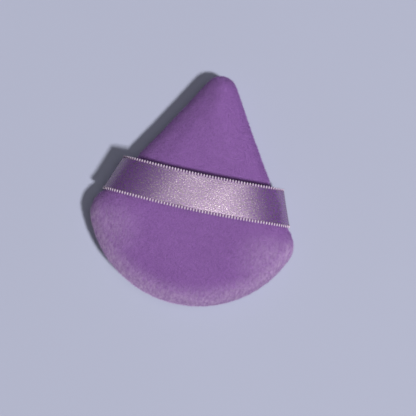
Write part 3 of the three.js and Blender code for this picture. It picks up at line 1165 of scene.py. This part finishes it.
lustre = mix_colours(tree, FLOATS_SEEN, sparkle, floats.outputs["Color"])
colour = mix_colours(tree, lustre, SATIN, SATIN_DEEP)
colour = mix_colours(tree, glint, colour, SATIN_GLINT)
polish = mix_colours(tree, lustre, GLOSSY, SOFT)
body = math_node(tree, "SUBTRACT", 1.0, edge)
raised = math_node(tree, "SUBTRACT", 1.0, floats.outputs["Fac"])
lengthwise = add_node(tree, "ShaderNodeTangent", {"direction_type": "UV_MAP"}).outputs["Tangent"]
# The edge stripe gets the painted shade, no glints and full roughness.
wire(tree, satin_shader,
     Base_Color=mix_colours(tree, edge, colour, SATIN_EDGE_SHADE),
     Metallic=math_node(tree, "MULTIPLY", glint, body),
     Roughness=mix_colours(tree, edge, polish, MATT),
     Normal=bumped(tree, raised, strength=0.25, distance=0.02 * MM),
     IOR=SATIN_IOR, Specular_IOR_Level=1, Specular_Tint=SATIN_TINT, Anisotropic=0.8, Tangent=lengthwise)
dress(ribbon, satin)
print("satin:", len(tree.nodes), "nodes")

# %% [markdown]
# ## Yarn finish
#
# The loops are the ribbon's own yarn, twisted, and catch the light on their round backs. Their fibres, like
# those of the sewing thread that comes next, are too fine to model, so a noise far smaller than a loop
# stands for them. Both yarns use it, so it is a node group, whose one input is how fine the fibres are.

# %% Group for the fibres of yarn
yarn_fibre, fibre_out = new_group("Yarn fibre", ["Fibre"], ["Scale"])
fibre_scale = add_node(yarn_fibre, "NodeGroupInput").outputs["Scale"]
wire(yarn_fibre, fibre_out, Fibre=noise_node(yarn_fibre, object_places(yarn_fibre), fibre_scale))


def yarn_finish(name, deep, pale, fineness, strength, distance, **shine):
    material, tree, shader = new_finish(name)
    fibre = add_group(tree, yarn_fibre, Scale=fineness).outputs["Fibre"]
    wire(tree, shader, Base_Color=mix_colours(tree, fibre, deep, pale),
         Normal=bumped(tree, fibre, strength, distance), **shine)
    return material


print("yarn fibre:", len(yarn_fibre.nodes), "nodes")

# %% Picot finish
PICOT = (0.9, 0.77, 0.9, 1)
PICOT_DEEP = (0.66, 0.5, 0.68, 1)

picot = yarn_finish("picot yarn", PICOT_DEEP, PICOT, fineness=3000.0, strength=0.3, distance=0.05 * MM,
                    Roughness=0.35, IOR=SATIN_IOR)
for row in (picot_apex_side, picot_base_side):
    dress(row, picot)
print("picot dressed")

# %% [markdown]
# ## Seam threads
#
# The panels are sewn by machine in one run from ribbon to ribbon round the apex and one down each side, and
# the gap that was left to turn the pad is closed by hand at the middle of the base. Sewing thread is two
# plies twisted together. Each ply is a curve that winds round the seam line, dips at each stitch and gets a
# round section from the curve's bevel. The closing run crosses from panel to panel as a ladder stitch does.

# %% Line of the seam threads
CLOSING_HALF = 13 * MM
THREAD_GAP = 0.3 * MM

half_count = len(right_half) + 1


def seam_place(run):
    here = run % seam_length
    x, y, out_x, out_y = (np.interp(here, outline_run, column, period=seam_length) for column in outline.T)
    return Vector((x, y, seam_z)), Vector((out_x, out_y, 0))


def run_at(y):
    return np.interp(y, outline_at[:half_count, 1], outline_run[:half_count])


below_ribbon = run_at(-ribbon_half - THREAD_GAP)
above_ribbon = run_at(ribbon_half + THREAD_GAP)
side_start = CLOSING_HALF + THREAD_GAP
print("side run", round((below_ribbon - side_start) / MM), "mm, apex run",
      round((seam_length - 2 * above_ribbon) / MM), "mm")

# %% Seam threads
THREAD_INSET = 0.33 * MM
PLY_RADIUS = 0.105 * MM
TWIST_PITCH = 1.1 * MM
THREAD_STEP = 0.16 * MM
STITCH_DIP = 0.25 * MM
LADDER_RISE = 0.65 * MM
LADDER_STEEPNESS = 2


def ply_points(start, end, ladder, phase):
    for run in np.arange(start, end, THREAD_STEP):
        place, out = seam_place(run)
        stitch = 2 * math.pi * run / STITCH_PITCH
        twist = 2 * math.pi * run / TWIST_PITCH + phase
        dip = STITCH_DIP * (1 - math.cos(stitch)) / 2
        rise = ladder * math.tanh(LADDER_STEEPNESS * math.sin(stitch / 2))
        lift = Vector((0, 0, rise + PLY_RADIUS * math.sin(twist)))
        yield place - (THREAD_INSET + dip) * out + PLY_RADIUS * math.cos(twist) * out + lift


def sew(name, start, end, ladder=0):
    curve = bpy.data.curves.new(name, "CURVE")
    curve.dimensions = "3D"
    curve.bevel_depth = PLY_RADIUS
    curve.bevel_resolution = 1
    curve.use_fill_caps = True
    for phase in (0, math.pi):
        points = list(ply_points(start, end, ladder, phase))
        spline = curve.splines.new("POLY")
        spline.points.add(len(points) - 1)
        for knot, place in zip(spline.points, points):
            knot.co = (*place, 1)
    thread = bpy.data.objects.new(name, curve)
    bpy.context.scene.collection.objects.link(thread)
    select_only(thread)
    bpy.ops.object.convert(target="MESH")
    smooth(bpy.context.object)
    return bpy.context.object


threads = {
    "seam_thread_apex": sew("thread_apex", above_ribbon, seam_length - above_ribbon),
    "seam_thread_right": sew("thread_right", side_start, below_ribbon),
    "seam_thread_left": sew("thread_left", seam_length - below_ribbon, seam_length - side_start),
    "closing_thread": sew("thread_closing", -CLOSING_HALF, CLOSING_HALF, LADDER_RISE),
}
print("threads:", {name: triangle_count(thread) for name, thread in threads.items()}, "triangles")

# %% Thread finish
THREAD = (0.26, 0.12, 0.37, 1)
THREAD_DEEP = (0.15, 0.06, 0.22, 1)

thread_yarn = yarn_finish("sewing thread", THREAD_DEEP, THREAD, fineness=4000.0, strength=0.4,
                          distance=0.04 * MM, Roughness=0.55)
for thread in threads.values():
    dress(thread, thread_yarn)
print("threads dressed")

# %% [markdown]
# ## Sponge core
#
# The filling is a slab of open-cell foam, cut smaller than the outline so that the turned-in edges of the
# panels fold round it. It stays out of sight, but the part comes apart into its pieces, so it gets its own
# skin: a copy of the CAD solid, drawn in from the edges, remeshed to an even grid and pitted with Voronoi
# cells by a Displace modifier. Its finish adds small pores between the large cells, with a bump and with
# painted shade: a darker colour inside each pore.

# %% Sponge core
SAME_POINT = 0.001 * MM
SPONGE_VOXEL = 0.8 * MM
SPONGE_SHARE = 0.88
SPONGE_EASE = 0.35 * MM
CELL_SIZE = 1.6 * MM
CELL_DEPTH = 0.3 * MM

sponge = bpy.data.objects.new("sponge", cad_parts["sponge_core"].data.copy())
bpy.context.scene.collection.objects.link(sponge)
edit_all(sponge)
bpy.ops.mesh.remove_doubles(threshold=SAME_POINT)
bpy.ops.transform.shrink_fatten(value=-SPONGE_EASE)
bpy.ops.transform.resize(value=(SPONGE_SHARE, SPONGE_SHARE, 1), center_override=pad_middle)
leave_edit_mode()
remesh(sponge, SPONGE_VOXEL)
ripple(sponge, "foam cells", "VORONOI", CELL_SIZE, CELL_DEPTH, mid_level=1)
smooth(sponge)
print("sponge:", triangle_count(sponge), "triangles, height", round(sponge.dimensions.z / MM, 2), "mm")

# %% Foam finish
FOAM = (0.86, 0.83, 0.78, 1)
# Painted shade inside the pores.
FOAM_PORE_SHADE = (0.6, 0.56, 0.5, 1)
PORE_SIZE = 0.7 * MM
PORE_RANGE = (0.1, 0.5)

foam, tree, foam_shader = new_finish("open-cell foam")
pores = add_node(tree, "ShaderNodeTexVoronoi", Vector=object_places(tree), Scale=1 / PORE_SIZE)
solid = ramp_between(tree, pores.outputs["Distance"], *PORE_RANGE)
# Each pore is painted darker towards its middle: painted shade in its hollow.
wire(tree, foam_shader, Base_Color=mix_colours(tree, solid, FOAM_PORE_SHADE, FOAM),
     Normal=bumped(tree, solid, strength=0.6, distance=0.2 * MM), Roughness=0.95)
dress(sponge, foam)
print("foam dressed")

# %% [markdown]
# ## Joining the pieces to the frame
#
# Each piece is attached to the CAD body it moves with: the back panel, its pile and the threads to the
# back, and the face panel, its pile and the sponge to the face, each of these three with a mesh of its own.
# The ribbon and its loops have their placing baked into their meshes.

for piece in (velour_back, pile_back, *threads.values()):
    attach(piece, "back")
for piece in (velour_face, pile_face):
    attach(piece, "face")
    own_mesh(piece)
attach(sponge, "face")
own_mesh(sponge)
for piece in (ribbon, picot_apex_side, picot_base_side):
    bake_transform(piece)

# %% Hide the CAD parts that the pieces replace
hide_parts("back_panel")
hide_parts("face_panel")
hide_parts("sponge_core")
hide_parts("ribbon_strap", "ribbon_tail_right", "ribbon_tail_left")
for node, thread in threads.items():
    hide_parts(node)
print("the ribbon is cut", round(2 * ribbon_body / MM, 1), "by", round(ribbon_length / MM, 1), "mm")
